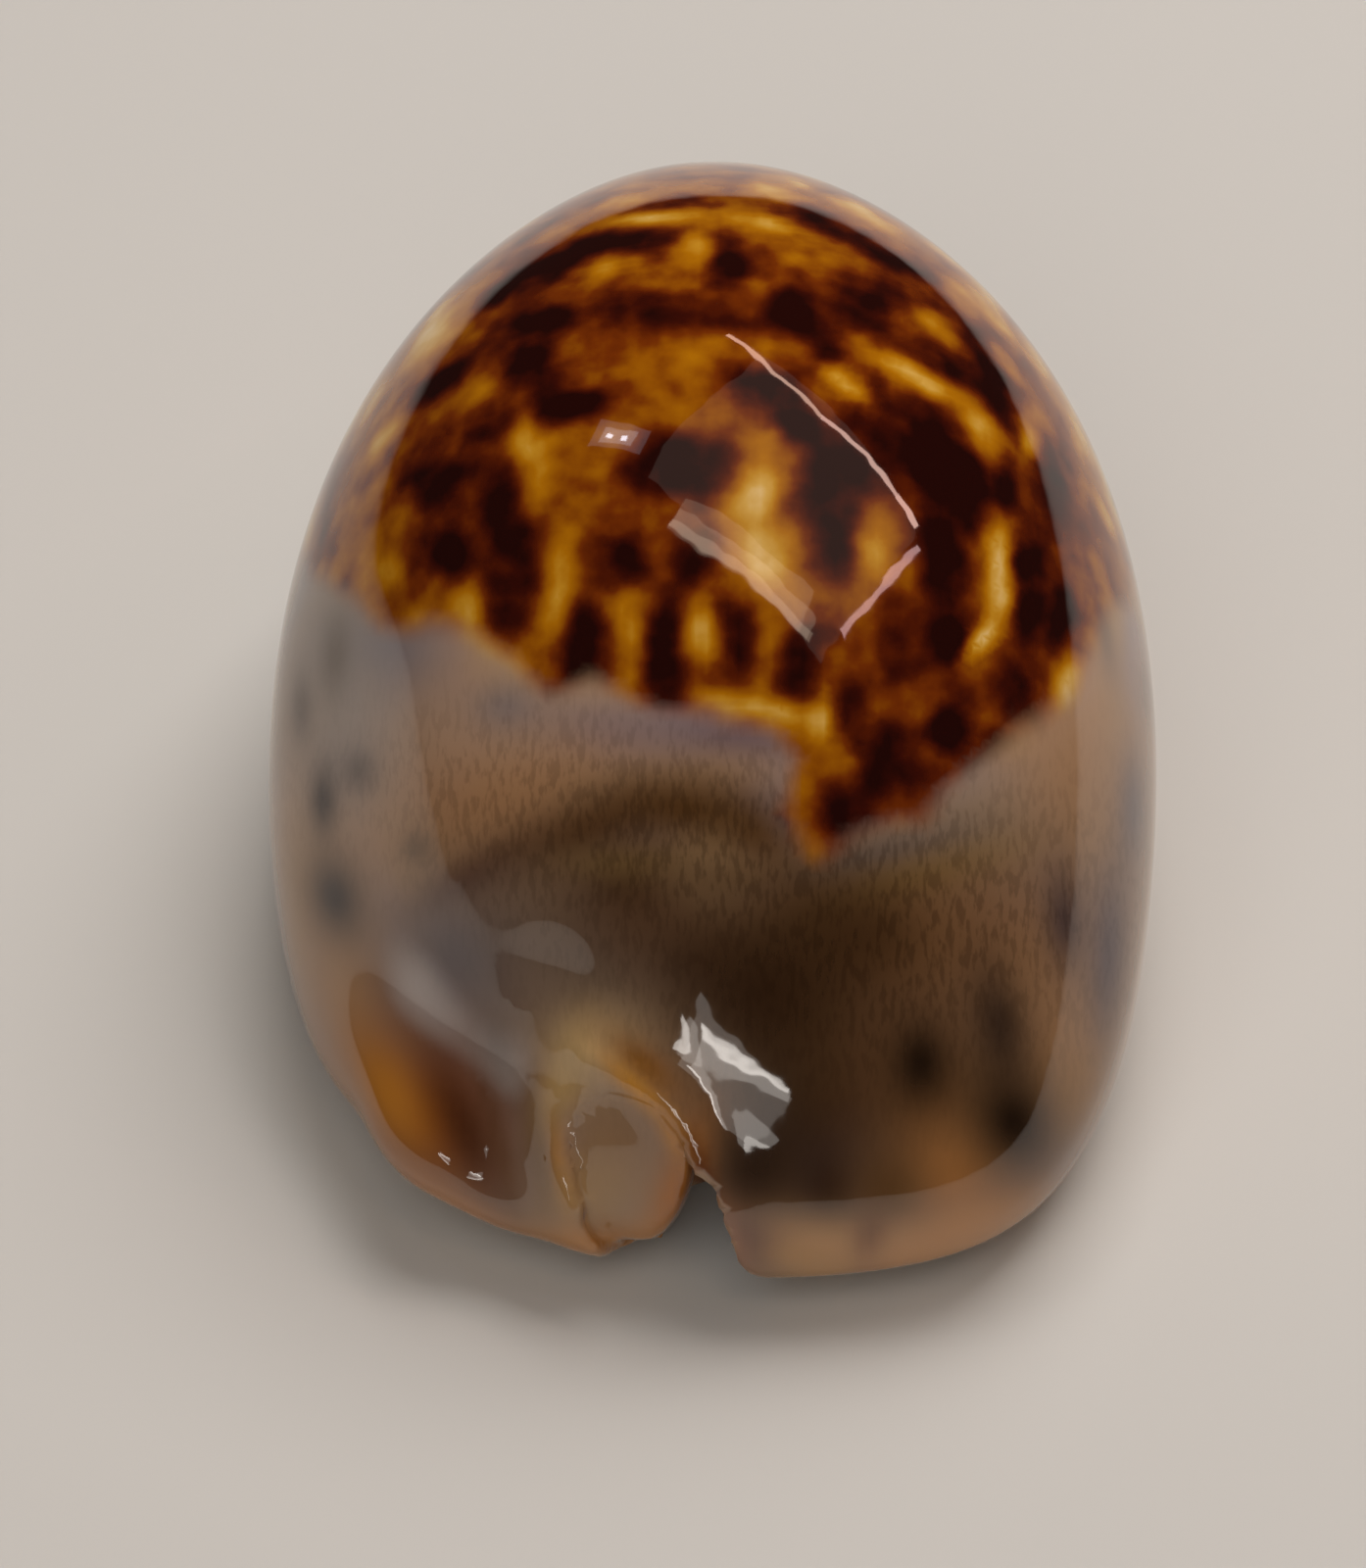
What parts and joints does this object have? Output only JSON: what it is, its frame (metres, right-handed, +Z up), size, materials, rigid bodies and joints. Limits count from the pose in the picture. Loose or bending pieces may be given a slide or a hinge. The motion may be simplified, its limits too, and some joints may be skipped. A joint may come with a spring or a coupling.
{
  "type": "cowry shell",
  "caption": "Domed, glossy tortoiseshell-patterned cowry shell with a long toothed slit along its base, resting on its base.",
  "frame": {"origin": "on the flat of the base, at the centre of the bounding box in plan", "axes": "+Y along the length towards the front (canal) end, +X towards the outer lip side, +Z up through the back"},
  "size_m": [0.0492, 0.0714, 0.0386],
  "materials": {
    "shell": "glossy"
  },
  "bodies": {
    "root": {"shell": "shell"}
  },
  "joints": []
}
